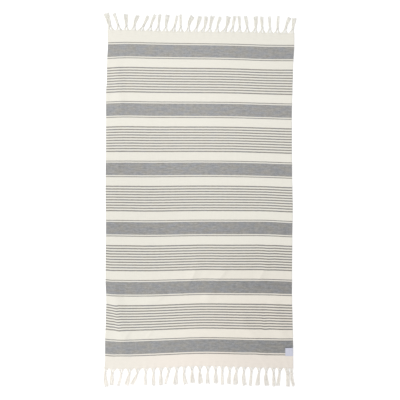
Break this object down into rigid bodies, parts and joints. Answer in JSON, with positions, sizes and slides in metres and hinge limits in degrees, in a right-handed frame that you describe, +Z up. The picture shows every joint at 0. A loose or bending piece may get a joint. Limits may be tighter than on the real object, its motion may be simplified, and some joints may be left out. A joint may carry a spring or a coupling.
{
  "type": "hammam towel",
  "caption": "Flat-woven striped cotton hammam towel laid out flat, with hand-knotted tassel fringes at both ends and a small blank sewn label.",
  "frame": {"origin": "on the surface that the towel lies on, below the middle of its overall outline", "axes": "+Y along the warp towards the top end, +X across the cloth to the right seen from above, +Z up"},
  "size_m": [1.0277, 2.0004, 0.0066],
  "materials": {
    "cloth": "flat-woven cotton, cream ground with heathered grey weft stripes",
    "fringe": "loose cream cotton yarn, knotted",
    "label": "blank woven satin tape, pale lavender grey"
  },
  "bodies": {
    "root": {"towel_cloth": "cloth", "fringe_top": "fringe", "fringe_bottom": "fringe", "label": "label"}
  },
  "joints": []
}
